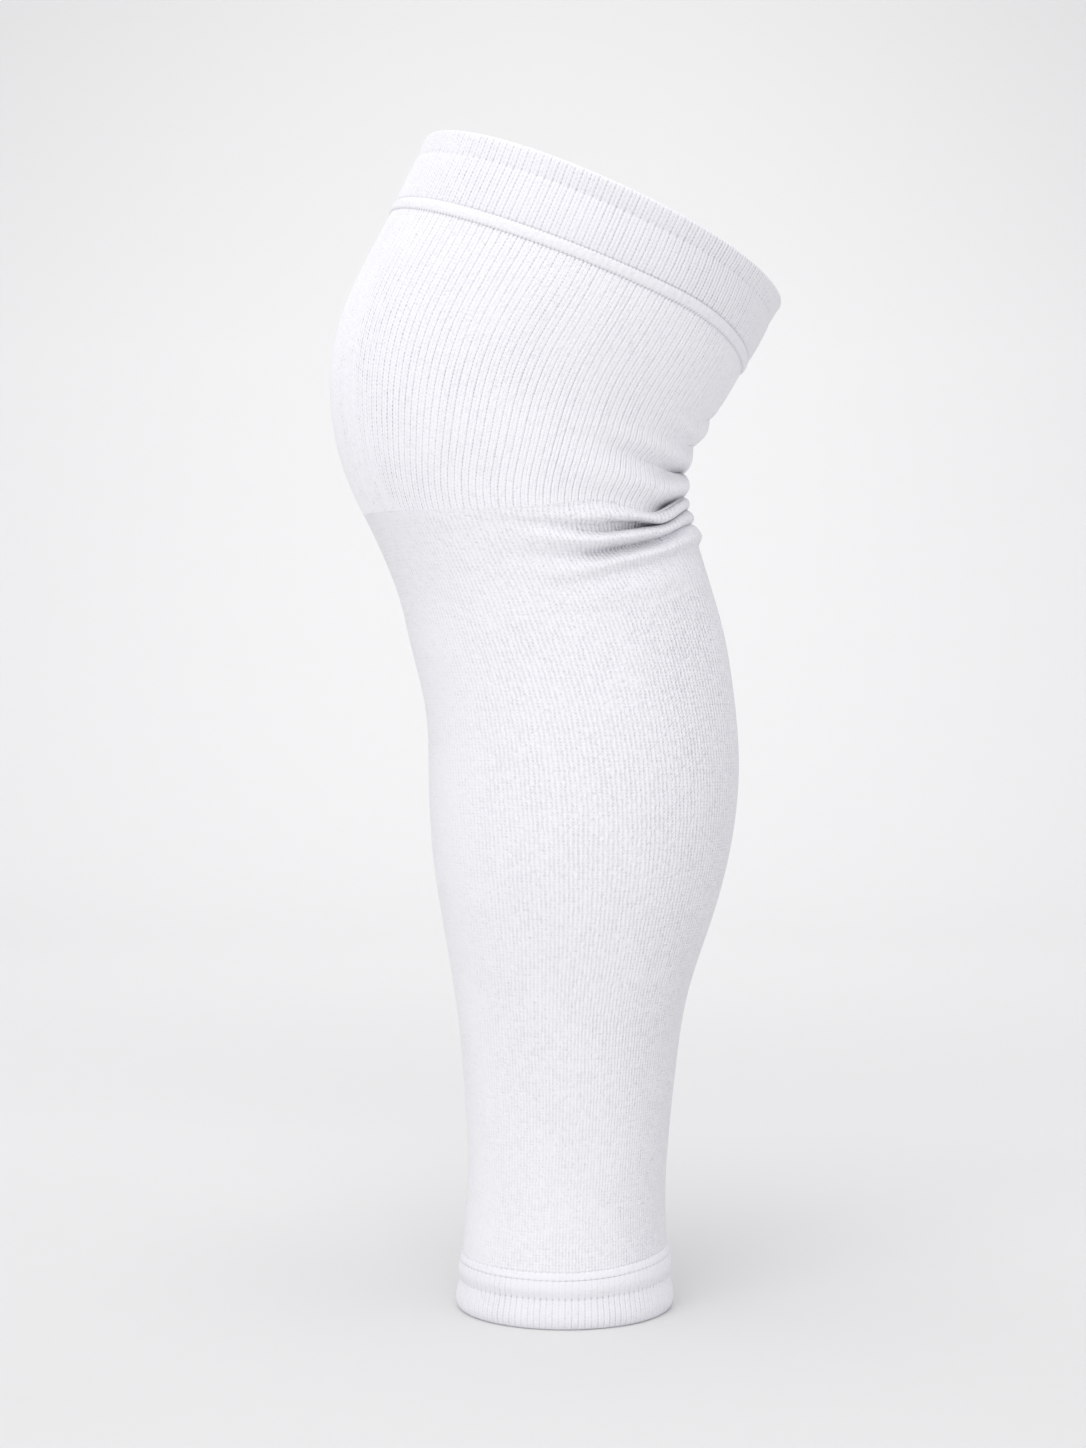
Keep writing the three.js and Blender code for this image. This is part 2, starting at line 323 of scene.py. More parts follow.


# level, angle, out and painted crease shade of a whole wall; the wales' own run is found from the level first
def wallShape(rows, rowIndex, u):
    level = np.full_like(u, legForm["firstLevel"])
    out, dark = np.zeros_like(u), np.zeros_like(u)
    for attempt in range(2):
        angle = waleAngle(u, level)
        for i, (lower, upper, share) in enumerate(rows):
            here = rowIndex == i
            a = angle[here]
            if isinstance(lower, str) and isinstance(upper, str):
                level[here], out[here], dark[here] = foldShape(lower, upper, share, a)
            else:
                level[here] = lineLevel(lower, a) * (1 - share) + lineLevel(upper, a) * share
    return level, angle, out, dark


tiny = 1e-6
placeKeys = ("end", "run", "course")  # values that each point of a knitted wall has
# pit and deep carry painted shade: pit in the needle holes, deep in the creases and on the front above and
# below the knee; show scales the ribs' relief and their painted groove lines
lookKeys = ("pit", "show", "loops", "deep")  # and those that a wall may give, 0 where it doesn't


def addObject(name, mesh):
    piece = bpy.data.objects.new(name, mesh)
    scene.collection.objects.link(piece)
    return piece


# a mesh from warped grids: each is closed round the leg, and its open ends are bridged to the next one's
def knitMesh(name, ribs, sides):
    bm = bmesh.new()
    bm.loops.layers.uv.new("knitUv")
    layers = {key: bm.verts.layers.float.new(key) for key in placeKeys + lookKeys}
    for side in sides:
        before = len(bm.faces)
        made = bmesh.ops.create_grid(
            bm, x_segments=side["columns"], y_segments=side["rows"], size=0.5, calc_uvs=True)
        verts = made["verts"]
        grid = np.array([v.co[:2] for v in verts]) + 0.5
        rowIndex = np.rint(grid[:, 1] * side["rows"]).astype(int)
        shape = side["place"](grid[:, 0], rowIndex)
        points = legPoint(shape["level"], shape["angle"], shape["out"])
        nothing = np.zeros(len(verts))
        course = sideHeight(shape["level"]) / legForm["course"]
        values = [grid[:, 1], grid[:, 0], course] + [shape.get(key, nothing) for key in lookKeys]
        for v, p in zip(verts, points):
            v.co = p
        for layer, column in zip(layers.values(), values):
            for v, value in zip(verts, column):
                v[layer] = value
        if side["inside"]:
            bm.faces.ensure_lookup_table()
            bmesh.ops.reverse_faces(bm, faces=bm.faces[before:])
        weld = [v for v, u in zip(verts, grid[:, 0]) if u < tiny or u > 1 - tiny]
        if side.get("ring"):
            weld = verts
        bmesh.ops.remove_doubles(bm, verts=weld, dist=tiny)
    wallFaces = len(bm.faces)
    for end in (0.0, 1.0):
        rim = [e for e in bm.edges
               if e.is_boundary and all(abs(v[layers["end"]] - end) < tiny for v in e.verts)]
        if rim:
            made = bmesh.ops.bridge_loops(bm, edges=rim)
            if not rim[0].is_contiguous:
                bmesh.ops.reverse_faces(bm, faces=made["faces"])
            for e in rim:
                e.smooth = False
    print(name, "faces", len(bm.faces), "open edges", sum(not e.is_manifold for e in bm.edges),
          "volume cm3", round(bm.calc_volume(signed=True) * 1e6, 2))
    mesh = bpy.data.meshes.new(name)
    bm.to_mesh(mesh)
    bm.free()
    mesh.polygons.foreach_set("use_smooth", [True] * len(mesh.polygons))
    setKnitUv(mesh, ribs, wallFaces)
    return mesh


# knitUv counts ribs round the leg and courses up it
def setKnitUv(mesh, ribs, wallFaces):
    def read(items, key, count, kind):
        values = np.zeros(count, kind)
        items.foreach_get(key, values)
        return values

    corner = read(mesh.loops, "vertex_index", len(mesh.loops), np.int32)
    course = read(mesh.attributes["course"].data, "value", len(mesh.vertices), np.float32)
    run = read(mesh.attributes["run"].data, "value", len(mesh.vertices), np.float32)
    uv = read(mesh.uv_layers["knitUv"].data, "uv", 2 * len(mesh.loops), np.float32).reshape(-1, 2)
    if wallFaces < len(mesh.polygons):
        firstRim = mesh.polygons[wallFaces].loop_start
        uv[firstRim:, 0] = run[corner[firstRim:]]
    uv[:, 0] *= ribs
    uv[:, 1] = course[corner]
    mesh.uv_layers["knitUv"].data.foreach_set("uv", uv.ravel())


def addKnit(name, ribs, sides):
    return addObject(name, knitMesh(name, ribs, sides))


ribForm = {
    "grooveHalf": 0.14,  # half widths of the groove, the fine line and a needle hole, in shares of a rib
    "fineHalf": 0.1,
    "holeHalf": 0.16,
    "crown": 0.1,  # height of the two rounded halves
    "own": (0.55, 1.15),  # strength from rib to rib
    "along": 0.35,  # and how much it changes along a rib
}


# relief across one rib: a dropped needle at phase 0, a finer line halfway
def ribRelief(phase, groove, fineLine):
    toGroove = np.minimum(phase, 1 - phase)
    deep = np.clip(1 - toGroove / ribForm["grooveHalf"], 0, 1)
    fine = np.clip(1 - (0.5 - toGroove) / ribForm["fineHalf"], 0, 1)
    crown = ribForm["crown"] * np.abs(np.sin(2 * np.pi * phase))
    return crown - groove * deep - fineLine * fine


def phaseOf(u, count):
    return np.clip(u * count - np.floor(u * count + tiny), 0, 1)


# uneven strength from rib to rib, and along each rib
def ribStrength(u, count, height, seed):
    rng = np.random.default_rng(seed)
    own = rng.uniform(*ribForm["own"], count)
    nearest = np.rint(u * count).astype(int) % count
    return own[nearest] * (1 + ribForm["along"] * unevenness(u * 3, height * 2, seed + 9))


# a row of needle holes, one where the phase is 0; the mask dents the surface and also paints shade into the
# holes
def needleHoles(phase, level, at, tall):
    across = np.minimum(phase, 1 - phase) / ribForm["holeHalf"]
    along = (level - at) / tall
    return np.exp(-across ** 2 - along ** 2)


kneeKnit = {
    "ribs": 150,
    "columns": 1200,
    "groove": 0.4,
    "fineLine": 0.13,
    "edge": 375.6,  # the rows lie closer from here to the top
    "top": 377.28,
    "holeDrop": 0.25,  # a row of needle holes: how far below the top, their height, painted shade and dent
    "holeTall": 0.35,
    "holeDark": 0.9,
    "holeDent": 0.2,
    "sway": 0.14,  # how far a rib strays sideways, in shares of a rib
    "paintedFrontShade": 0.05,  # painted shade: how much darker the front of the thigh above the knee is painted, where the lamps light it most
    "flat": (0.451, 0.104),
    "seed": 11,
}
foldKnit = {
    "wales": 200,
    "columns": 1200,
    "ribbed": 0.8,  # strength of the ribs that run down into it at the side
    "gather": 0.5,  # height of the small gathers in the creases
    "gatherSeed": 31,
    # painted shade: how much darker the front just below the knee is painted
    "paintedFrontShade": 0.025,
    "flat": (0.395, 0.047),
}
calfKnit = {
    "wales": 200,
    "columns": 400,
    "bottom": 21.62,
    "edge": 26.0,  # the rows lie closer from the bottom to here
    "flat": (0.303, 0.259),
}

creaseRows = foldRows("upperCrease", "topCrease", 20) + foldRows("topCrease", "thighCrease", 14)
kneeRows = withEnd(
    creaseRows + foldRows("thighCrease", "thighDent", 12) + foldRows("thighDent", "thighLine", 8)
    + plainRows("thighLine", kneeKnit["edge"], 8) + plainRows(kneeKnit["edge"], kneeKnit["top"], 7))
kneeInRows = withEnd(
    creaseRows + foldRows("thighCrease", "thighDent", 5) + foldRows("thighDent", "thighLine", 3)
    + plainRows("thighLine", kneeKnit["top"], 3))
backRows = withEnd(
    foldRows("calfLine", "calfCrease", 8) + foldRows("calfCrease", "lowerCrease", 15)
    + foldRows("lowerCrease", "middleCrease", 18) + foldRows("middleCrease", "upperCrease", 18))
calfRows = withEnd(
    plainRows(calfKnit["bottom"], calfKnit["edge"], 8) + plainRows(calfKnit["edge"], "calfLine", 66))
calfInRows = withEnd(plainRows(calfKnit["bottom"], "calfLine", 20))


def bodyUneven(u, height):
    return legForm["uneven"] * unevenness(u, height, kneeKnit["seed"] + 1)


# how clearly the ribs show round the knee, by degrees from the back
def ribShow(degrees):
    atBack = 0.25 * (1 - fade(degrees, 35, 70))
    towardsFront = 1.2 * fade(degrees, 115, 150)
    veryFront = 1.0 * fade(degrees, 170, 180)
    return 1 + atBack + towardsFront - veryFront


def kneeOutside(u, rowIndex):
    ribs = kneeKnit["ribs"]
    level, angle, out, deep = wallShape(kneeRows, rowIndex, u)
    height = sideHeight(level)
    phase = phaseOf(u, ribs)
    degrees = fromBack(angle)
    aboveKnee = 0.2 * fade(level, 338, 356)
    aboveInFront = 0.45 * fade(level, 340, 360) * fade(degrees, 110, 140)
    show = ribShow(degrees) * (1 - aboveKnee) * (1 - aboveInFront)
    loops = 1 - 0.4 * fade(degrees, 110, 145)
    # painted shade added to the crease shade: the front of the thigh above the knee is painted darker
    deep = deep + kneeKnit["paintedFrontShade"] * fade(level, 336, 360) * fade(degrees, 100, 135)
    start = fade(rowIndex, 0, 3)  # the ribs begin over the first rows
    relief = ribRelief(phase, kneeKnit["groove"], kneeKnit["fineLine"])
    holesAt = kneeKnit["top"] - kneeKnit["holeDrop"]
    holes = kneeKnit["holeDark"] * needleHoles(phaseOf(u, 2 * ribs), level, holesAt, kneeKnit["holeTall"])
    out = out + show * ribStrength(u, ribs, height, kneeKnit["seed"]) * relief * (0.6 + 0.4 * start)
    out = out + bodyUneven(u, height) - kneeKnit["holeDent"] * holes
    sway = kneeKnit["sway"] * unevenness(u, height, kneeKnit["seed"]) * np.sin(np.pi * u) ** 0.5
    angle = angle + 2 * np.pi * sway / ribs * start
    return {"level": level, "angle": angle, "out": out,
            "pit": holes, "show": show, "loops": loops, "deep": deep}


def backOutside(u, rowIndex):
    ribs = kneeKnit["ribs"]
    level, angle, out, deep = wallShape(backRows, rowIndex, u)
    height = sideHeight(level)
    degrees = fromBack(angle)
    stillRibbed = fade(level, 311.2, 313.4) * fade(degrees, 30, 50)
    reach = fade(degrees, 22, 40) * (1 - fade(degrees, 90, 120))  # gathers show at the side alone
    gather = foldKnit["gather"] * fade(-out, 1.2, 3.4) * reach * (1 - stillRibbed)
    show = ribShow(degrees) * stillRibbed
    relief = foldKnit["ribbed"] * show * ribStrength(u, ribs, height, kneeKnit["seed"])
    relief = relief * ribRelief(phaseOf(u, ribs), kneeKnit["groove"], kneeKnit["fineLine"])
    gather = gather * (1 + 0.5 * unevenness(u * 5, height, foldKnit["gatherSeed"]))
    gathers = gather * np.cos(2 * np.pi * u * foldKnit["wales"])
    out = out + relief - gathers + bodyUneven(u, height)
    # painted shade added to the crease shade: the front just below the knee is painted darker
    deep = deep + foldKnit["paintedFrontShade"] * fade(level, 274, 298) * fade(degrees, 80, 130) * (1 - stillRibbed)
    loops = 1.1 - 0.3 * fade(degrees, 80, 130)
    return {"level": level, "angle": angle, "out": out, "show": show, "loops": loops, "deep": deep}


def calfOutside(u, rowIndex):
    level, angle, out = wallShape(calfRows, rowIndex, u)[:3]
    height = sideHeight(level)
    out = out + bodyUneven(u, height) * fade(level, 24, 60)
    degrees = fromBack(angle)
    loops = 0.8 + 0.7 * fade(degrees, 5, 30) - 0.5 * fade(degrees, 40, 75)
    inFront = 0.45 * fade(degrees, 112, 150)
    towardsAnkle = 0.2 * fade(-level, -110, -50)
    loops = loops * (1 - inFront) * (1 - towardsAnkle)
    return {"level": level, "angle": angle, "out": out, "loops": loops}


def insideOf(rows):
    def place(u, rowIndex):
        level, angle, out = wallShape(rows, rowIndex, u)[:3]
        return {"level": level, "angle": angle, "out": out - legForm["wall"]}

    return {"columns": legForm["insideColumns"], "rows": len(rows) - 1, "place": place, "inside": True}


def outsideOf(rows, columns, place):
    return {"columns": columns, "rows": len(rows) - 1, "place": place, "inside": False}


kneePiece = addKnit("knee_rib_knit", kneeKnit["ribs"], [
    outsideOf(kneeRows, kneeKnit["columns"], kneeOutside), insideOf(kneeInRows)])
backPiece = addKnit("knee_fold_knit", kneeKnit["ribs"], [
    outsideOf(backRows, foldKnit["columns"], backOutside), insideOf(backRows)])
calfPiece = addKnit("calf_plain_knit", calfKnit["wales"], [
    outsideOf(calfRows, calfKnit["columns"], calfOutside), insideOf(calfInRows)])
print("tube made")

thighCuff = {
    "ribs": 150,
    "groove": 0.28,
    "fineLine": 0.12,
    # level, out, and how strongly the ribs show; up the outside, over the rim, down a little inside
    "profile": [
        (381.62, -0.1, 0.2), (381.8, 0.15, 0.6), (382.3, 0.35, 0.9), (383.2, 0.55, 1.0), (385.5, 0.75, 1.0),
        (388.5, 0.8, 1.0), (391.5, 0.65, 1.0), (393.8, 0.4, 1.0), (394.8, 0.2, 1.0), (395.4, 0.0, 1.0),
        (396.0, 0.2, 1.0), (397.2, 0.6, 1.0), (398.8, 1.0, 1.0), (400.0, 1.2, 1.0), (400.7, 1.15, 0.8),
        (401.1, 0.9, 0.5), (401.3, 0.5, 0.25), (401.3, 0.0, 0.1), (400.9, -0.7, 0.0), (400.0, -1.25, 0.0),
    ],
    "inside": [(381.62, -1.8), (388.0, -1.8), (396.0, -1.75), (400.0, -1.25)],
    # level, height and painted shade of each row of needle holes
    "holes": [(381.8, 0.35, 0.8), (395.4, 0.35, 0.9)],
    "backFlare": 1.25,  # how much further the rim turns out at the back
    "frontFlare": -0.65,  # and in front
    "backLine": (381.0, 0.5, 400.0, 2.4),  # a straight line that the back leans on: level and out of its ends
    "backFill": 0.8,  # and how closely
    "seed": 5,
}
ankleBand = {
    "ribs": 108,
    "groove": 0.34,
    "fineLine": 0.07,
    # from the lower edge inside, under it and up the outside
    "profile": [
        (0.9, -1.75, 0.0), (0.25, -1.3, 0.0), (0.0, -0.5, 0.0), (0.0, 0.6, 0.1), (0.3, 1.3, 0.35),
        (1.0, 1.9, 0.7), (2.2, 2.4, 1.0), (3.6, 2.55, 1.0), (5.4, 2.35, 1.0), (7.4, 1.85, 1.0),
        (9.4, 1.25, 1.0), (10.8, 0.9, 0.9), (11.5, 0.78, 0.7), (12.2, 0.92, 0.6), (13.4, 1.3, 0.5),
        (14.8, 1.55, 0.45), (16.2, 1.45, 0.4), (17.4, 1.2, 0.35), (18.1, 1.02, 0.3), (18.55, 0.85, 0.1),
    ],
    "inside": [(0.9, -1.75), (6.0, -1.8), (12.0, -1.8), (18.55, -1.8)],
    "holes": [(11.5, 0.4, 1.2), (18.4, 0.35, 0.5)],
    "backFlare": 0.0,
    "frontFlare": 0.0,
    "backLine": (0.0, 0.0, 18.0, 0.0),
    "backFill": 0.0,
    "seed": 7,
}
bandForm = {
    "rowsPerStep": 2,
    "columnsPerRib": 8,
    "insideColumns": 240,
    "fillEnds": (397.5, 400.0),  # levels over which the straight back gives way to the rim
    "outsideFrom": -0.3,  # points further in than this have no needle holes
    "uneven": 0.12,
    "holeDent": 0.15,
    "sway": 0.12,
    "mostLoops": 0.6,
}


# a profile table taken to finer rows along a smooth curve
def profileRows(table, perStep):
    table = np.array(table, float)
    knots = np.concatenate([[0], np.cumsum(np.hypot(*np.diff(table[:, :2], axis=0).T) + 1e-4)])
    fine = np.concatenate([np.linspace(a, b, perStep, endpoint=False) for a, b in zip(knots[:-1], knots[1:])])
    return smoothCurve(knots, table)(np.append(fine, knots[-1]))


def bandOutside(band):
    rows = profileRows(band["profile"], bandForm["rowsPerStep"])

    def place(u, rowIndex):
        ribs = band["ribs"]
        level, out, show = rows[rowIndex].T
        level, show = np.clip(level, 0, None), np.clip(show, 0, 1)
        height = sideHeight(level)
        angle = waleAngle(u, level)
        phase = phaseOf(u, ribs)
        degrees = fromBack(angle)
        atBack = 1 - fade(degrees, 0, 50)
        flare = band["backFlare"] * atBack + band["frontFlare"] * fade(degrees, 80, 130)
        out = out + flare * np.clip(out, 0, None)
        lowLevel, lowOut, highLevel, highOut = band["backLine"]
        straight = lowOut + (highOut - lowOut) * (level - lowLevel) / (highLevel - lowLevel)
        fill = band["backFill"] * atBack * (1 - fade(level, *bandForm["fillEnds"]))
        out = out + fill * (straight - out)
        clear = 1.8 - 0.8 * fade(degrees, 30, 80)  # how clearly the ribs show, most at the back
        clear = clear + 0.5 * fade(degrees, 95, 140) - 0.7 * fade(degrees, 160, 180)
        show = show * clear
        holes = sum(dark * needleHoles(phase, level, at, tall) for at, tall, dark in band["holes"])
        holes = holes * (out > bandForm["outsideFrom"])
        relief = ribRelief(phase, band["groove"], band["fineLine"])
        out = out + show * ribStrength(u, ribs, height, band["seed"]) * relief
        out = out + bandForm["uneven"] * unevenness(u, height, band["seed"] + 1) * show
        out = out - bandForm["holeDent"] * holes
        sway = bandForm["sway"] * unevenness(u, height, band["seed"]) * np.sin(np.pi * u) ** 0.5
        return {"level": level, "angle": angle + 2 * np.pi * sway / ribs, "out": out,
                "pit": holes, "show": show, "loops": np.clip(show, 0, bandForm["mostLoops"])}

    columns = band["ribs"] * bandForm["columnsPerRib"]
    return {"columns": columns, "rows": len(rows) - 1, "place": place, "inside": False}


def bandInside(band):
    rows = np.array(band["inside"], float)

    def place(u, rowIndex):
        level, out = rows[rowIndex].T
        return {"level": level, "angle": waleAngle(u, level), "out": out}

    return {"columns": bandForm["insideColumns"], "rows": len(rows) - 1, "place": place, "inside": True}


cuffPiece = addKnit("thigh_rib_cuff", thighCuff["ribs"], [bandOutside(thighCuff), bandInside(thighCuff)])
bandPiece = addKnit("ankle_rib_band", ankleBand["ribs"], [bandOutside(ankleBand), bandInside(ankleBand)])
print("cuff and band made")

thighSeam = {
    "low": 377.34,
    "high": 381.56,
    "proud": 0.6,  # how far it stands out
    "backProud": 0.5,  # and how much further at the back
    "edges": (0.0, 0.0),  # out of its lower and its upper edge
    "ribs": 150,
    "scallop": 0.2,
    "holesPerRib": 2,
    "hole": 1.4,  # painted shade of the needle holes
    "seed": 3,
}
ankleSeam = {
    "low": 18.62,
    "high": 21.56,
    "proud": 0.25,
    "backProud": 0.0,
    "edges": (0.75, 0.1),
    "ribs": 108,
    "scallop": 0.1,
    "holesPerRib": 1,
    "hole": 0.8,
    "seed": 4,
}
seamForm = {"rounds": 28, "columnsPerRib": 8, "holeHalf": 0.18, "holeDent": 0.12, "uneven": 0.12}


# a covered seam: a ring with a rounded section, drawn in along both edges where the needle went through
def seamRing(seam):
    rounds = seamForm["rounds"]

    def place(u, rowIndex):
        turn = 2 * np.pi * rowIndex / rounds
        across = np.sign(np.sin(turn)) * np.abs(np.sin(turn)) ** 0.8
        outside = np.cos(turn) > 1e-9
        level = (seam["low"] + seam["high"]) / 2 + (seam["high"] - seam["low"]) / 2 * across
        phase = phaseOf(u, seam["ribs"])
        bulge = np.abs(np.cos(turn))
        lowEdge, highEdge = seam["edges"]
        edge = (lowEdge + highEdge) / 2 + (highEdge - lowEdge) / 2 * across
        angle = waleAngle(u, level)
        proud = seam["proud"] + seam["backProud"] * (1 - fade(fromBack(angle), 50, 110))
        out = np.where(outside, edge + proud * bulge ** 1.2, edge - (legForm["wall"] + edge) * bulge ** 0.5)
        stitch = phaseOf(u, seam["holesPerRib"] * seam["ribs"])
        holes = np.exp(-(np.minimum(stitch, 1 - stitch) / seamForm["holeHalf"]) ** 2)
        holes = holes * fade(np.abs(across), 0.6, 0.95)  # along the two edges
        # painted shade in the needle holes along the two edges
        holes = seam["hole"] * holes * (np.cos(turn) > -1e-9)
        out = out - seam["scallop"] * np.cos(2 * np.pi * phase) * outside * bulge * 0.3
        out = out - seamForm["holeDent"] * holes
        out = out + seamForm["uneven"] * unevenness(u, level * 0, seam["seed"]) * outside
        return {"level": level, "angle": angle, "out": out, "pit": holes, "show": outside * 1.0,
                "loops": outside * 1.0}

    columns = seam["ribs"] * seamForm["columnsPerRib"]
    return {"columns": columns, "rows": rounds, "place": place, "inside": False, "ring": True}


thighSeamPiece = addKnit("thigh_covered_seam", thighSeam["ribs"], [seamRing(thighSeam)])
ankleSeamPiece = addKnit("ankle_covered_seam", ankleSeam["ribs"], [seamRing(ankleSeam)])
print("seams made")

knitWhite = {
    # one white yarn given a white per piece: the cuff, seam and hem-band whites are painted darker than the
    # plain white as painted shade, for how the lamps fall on them, and the ribbed white is lighter to make up
    # for its painted groove lines
    "plain": (0.912, 0.909, 0.943, 1),
    "ribbed": (0.94, 0.937, 0.97, 1),
    "banded": (0.885, 0.882, 0.916, 1),
    "hemmed": (0.862, 0.859, 0.893, 1),
    # painted shade: the colours that the groove lines and loop hollows, the needle holes and the creases are
    # painted towards
    "shade": (0.42, 0.42, 0.48, 1),
    "hole": (0.25, 0.25, 0.29, 1),
    "deep": (0.07, 0.062, 0.085, 1),
    "lineShade": 0.72,  # how strongly each painted-shade mask darkens the white
    "loopShade": 0.09,
    "pitShade": 0.28,
    "deepShade": 0.9,
    "mottle": 0.1,
    "roughness": 0.9,
    "sheen": 0.1,
    "specular": 0.25,
    "bumpHeight": 0.3,  # millimetres
}


def newGroup(name, inputs, outputs):
    group = bpy.data.node_groups.new(name, "ShaderNodeTree")
    for socketName, kind, value in inputs:
        socket = group.interface.new_socket(name=socketName, in_out="INPUT", socket_type=kind)
        if value is not None:
            socket.default_value = value
    for socketName, kind in outputs:
        group.interface.new_socket(name=socketName, in_out="OUTPUT", socket_type=kind)
    return group, group.nodes.new("NodeGroupInput"), group.nodes.new("NodeGroupOutput")


def mathNode(tree, operation, first, second=None, clamp=False):
    node = tree.nodes.new("ShaderNodeMath")
    node.operation = operation
    node.use_clamp = clamp
    for socket, value in zip(node.inputs, (first, second)):
        if value is None:
            continue
        if isinstance(value, (int, float)):
            socket.default_value = value
        else:
            tree.links.new(value, socket)
    return node.outputs[0]


def noiseNode(tree, vector, scale, detail):
    node = tree.nodes.new("ShaderNodeTexNoise")
    node.inputs["Scale"].default_value = scale
    node.inputs["Detail"].default_value = detail
    tree.links.new(vector, node.inputs["Vector"])
    return mathNode(tree, "SUBTRACT", node.outputs["Fac"], 0.5)


loopForm = {
    "slow": (55, 2),  # scale and detail of each noise
    "quick": (420, 1),
    "speck": (900, 1),
    "worm": (480, 1),
    "slowDrift": 0.5,  # how far the wales stray with the slow and with the quick noise
    "quickDrift": 0.6,
    "lean": 0.8,  # slant of a loop's two legs
    "speckHeight": 0.8,
    "wormHeight": 4.5,
    "wormWidth": 0.1,
    "lineSharp": 10.0,  # how narrow the line in a groove and the fine line are
    "fineSharp": 12.0,
}


# loops of the knit: fine wales and courses, uneven from loop to loop, with dotted lines between ribs
def makeKnitLoops():
    group, given, result = newGroup(
        "knitLoops",
        [("Knit UV", "NodeSocketVector", None), ("Wales Per Rib", "NodeSocketFloat", 2.0),
         ("Line", "NodeSocketFloat", 1.0), ("Fine Line", "NodeSocketFloat", 0.4),
         ("Loops", "NodeSocketFloat", 1.0)],
        [("Loop Height", "NodeSocketFloat"), ("Line Mask", "NodeSocketFloat"), ("Mottle", "NodeSocketFloat")])

    def calc(operation, first, second=None, clamp=False):
        return mathNode(group, operation, first, second, clamp)

    split = group.nodes.new("ShaderNodeSeparateXYZ")
    group.links.new(given.outputs["Knit UV"], split.inputs[0])
    across, along = split.outputs["X"], split.outputs["Y"]
    place = group.nodes.new("ShaderNodeTexCoord").outputs["Object"]
    slow = noiseNode(group, place, *loopForm["slow"])
    quick = noiseNode(group, place, *loopForm["quick"])
    speck = noiseNode(group, place, *loopForm["speck"])
    slowDrift = calc("MULTIPLY", slow, loopForm["slowDrift"])
    drift = calc("ADD", slowDrift, calc("MULTIPLY", quick, loopForm["quickDrift"]))
    wales = calc("ADD", calc("MULTIPLY", across, given.outputs["Wales Per Rib"]), drift)
    waleWave = calc("COSINE", calc("MULTIPLY", wales, 2 * math.pi))
    lean = calc("PINGPONG", wales, 0.5)
    courses = calc("ADD", along, calc("MULTIPLY", lean, loopForm["lean"]))
    courseWave = calc("SINE", calc("MULTIPLY", courses, 2 * math.pi))
    cell = group.nodes.new("ShaderNodeCombineXYZ")
    group.links.new(calc("FLOOR", wales), cell.inputs[0])
    group.links.new(calc("FLOOR", courses), cell.inputs[1])
    own = group.nodes.new("ShaderNodeTexWhiteNoise")
    own.noise_dimensions = "2D"
    group.links.new(cell.outputs[0], own.inputs["Vector"])
    patch = calc("ADD", 0.8, calc("MULTIPLY", slow, 0.4), clamp=True)
    worm = calc("ABSOLUTE", noiseNode(group, place, *loopForm["worm"]))
    worm = calc("SUBTRACT", loopForm["wormWidth"], worm)
    courseShare = calc("ADD", 0.6, calc("MULTIPLY", courseWave, 0.4))
    stitch = calc("MULTIPLY", calc("MAXIMUM", waleWave, -0.25), courseShare)
    stitch = calc("MULTIPLY", stitch, calc("ADD", 0.6, calc("MULTIPLY", own.outputs["Value"], 0.6)))
    loops = calc("MULTIPLY", calc("MULTIPLY", stitch, patch), calc("MULTIPLY", given.outputs["Loops"], -1.0))
    specks = calc("MULTIPLY", speck, loopForm["speckHeight"])
    loops = calc("ADD", loops, calc("ADD", specks, calc("MULTIPLY", worm, loopForm["wormHeight"])))
    toGroove = calc("PINGPONG", calc("ADD", across, calc("MULTIPLY", quick, 0.12)), 0.5)
    lineNumber = calc("FLOOR", calc("ADD", calc("MULTIPLY", across, 2.0), 0.5))
    outOfStep = group.nodes.new("ShaderNodeTexWhiteNoise")
    outOfStep.noise_dimensions = "1D"
    group.links.new(lineNumber, outOfStep.inputs["W"])
    beat = calc("MULTIPLY", calc("ADD", along, outOfStep.outputs["Value"]), 2 * math.pi)
    dots = calc("ADD", 0.6, calc("MULTIPLY", calc("SINE", beat), 0.4))
    line = calc("SUBTRACT", 1.0, calc("MULTIPLY", toGroove, loopForm["lineSharp"]), clamp=True)
    line = calc("MULTIPLY", calc("MULTIPLY", line, dots), given.outputs["Line"])
    fine = calc("MULTIPLY", calc("SUBTRACT", 0.5, toGroove), loopForm["fineSharp"])
    fine = calc("SUBTRACT", 1.0, fine, clamp=True)
    fine = calc("MULTIPLY", calc("MULTIPLY", fine, dots), given.outputs["Fine Line"])
    lines = calc("MULTIPLY", calc("ADD", line, fine), calc("ADD", 0.8, calc("MULTIPLY", slow, 0.9)))
    group.links.new(loops, result.inputs["Loop Height"])
    group.links.new(lines, result.inputs["Line Mask"])
    mottle = calc("ADD", calc("MULTIPLY", slow, 0.35), calc("MULTIPLY", own.outputs["Value"], 0.25))
    group.links.new(mottle, result.inputs["Mottle"])
    return group


knitLoops = makeKnitLoops()


def mixColor(tree, factor, first, second):
    node = tree.nodes.new("ShaderNodeMix")
    node.data_type = "RGBA"
    tree.links.new(factor, node.inputs["Factor"])
    for socket, value in ((node.inputs["A"], first), (node.inputs["B"], second)):
        if isinstance(value, tuple):
            socket.default_value = value
        else:
            tree.links.new(value, socket)
    return node.outputs["Result"]


def attributeNode(tree, name):
    node = tree.nodes.new("ShaderNodeAttribute")
    node.attribute_name = name
    return node.outputs["Fac"]


